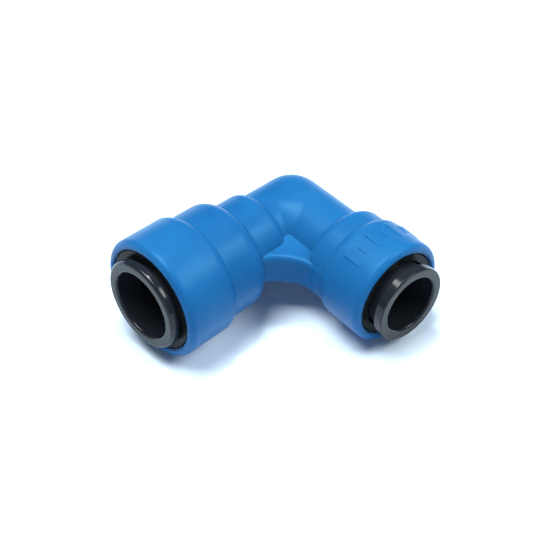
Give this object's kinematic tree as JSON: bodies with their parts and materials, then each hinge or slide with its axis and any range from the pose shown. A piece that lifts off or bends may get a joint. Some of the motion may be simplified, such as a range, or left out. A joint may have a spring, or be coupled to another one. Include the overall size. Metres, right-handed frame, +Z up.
{
  "type": "push to connect fitting",
  "caption": "Right-angle reducing push-to-connect fitting: moulded elbow body with a stepped socket, seal, cartridge and sliding toothed collet at each tube port.",
  "frame": {"origin": "centre of the large port's tube seat, where the end of the 12 mm tube stops", "axes": "-X out of the large port, -Y out of the small port, +Z up, square to both ports"},
  "size_m": [0.0425, 0.0397, 0.0216],
  "materials": {
    "body_plastic": "satin",
    "cartridge_plastic": "satin",
    "collet_plastic": "satin",
    "seal_rubber": "matte",
    "tooth_steel": "satin"
  },
  "bodies": {
    "housing": {"body": "body_plastic", "large_cartridge": "cartridge_plastic", "large_o_ring": "seal_rubber", "small_cartridge": "cartridge_plastic", "small_o_ring": "seal_rubber"},
    "large_spacer": {"large_spacer_ring": "cartridge_plastic"},
    "large_collet": {"large_collet": "collet_plastic", "large_tooth_1": "tooth_steel", "large_tooth_2": "tooth_steel", "large_tooth_3": "tooth_steel", "large_tooth_4": "tooth_steel", "large_tooth_5": "tooth_steel", "large_tooth_6": "tooth_steel"},
    "small_spacer": {"small_spacer_ring": "cartridge_plastic"},
    "small_collet": {"small_collet": "collet_plastic", "small_tooth_1": "tooth_steel", "small_tooth_2": "tooth_steel", "small_tooth_3": "tooth_steel", "small_tooth_4": "tooth_steel", "small_tooth_5": "tooth_steel", "small_tooth_6": "tooth_steel"}
  },
  "joints": [
    {"name": "large_collet_turn", "type": "hinge", "parent": "housing", "child": "large_spacer", "pos_m": [0, 0, 0], "axis": [-1, 0, 0], "continuous": true},
    {"name": "large_collet_press", "type": "slide", "parent": "large_spacer", "child": "large_collet", "axis": [1, 0, 0], "range_m": [-0.0012, 0.0006]},
    {"name": "small_collet_turn", "type": "hinge", "parent": "housing", "child": "small_spacer", "pos_m": [0.008, 0, 0], "axis": [0, -1, 0], "continuous": true},
    {"name": "small_collet_press", "type": "slide", "parent": "small_spacer", "child": "small_collet", "axis": [0, 1, 0], "range_m": [0, 0.0017]}
  ]
}
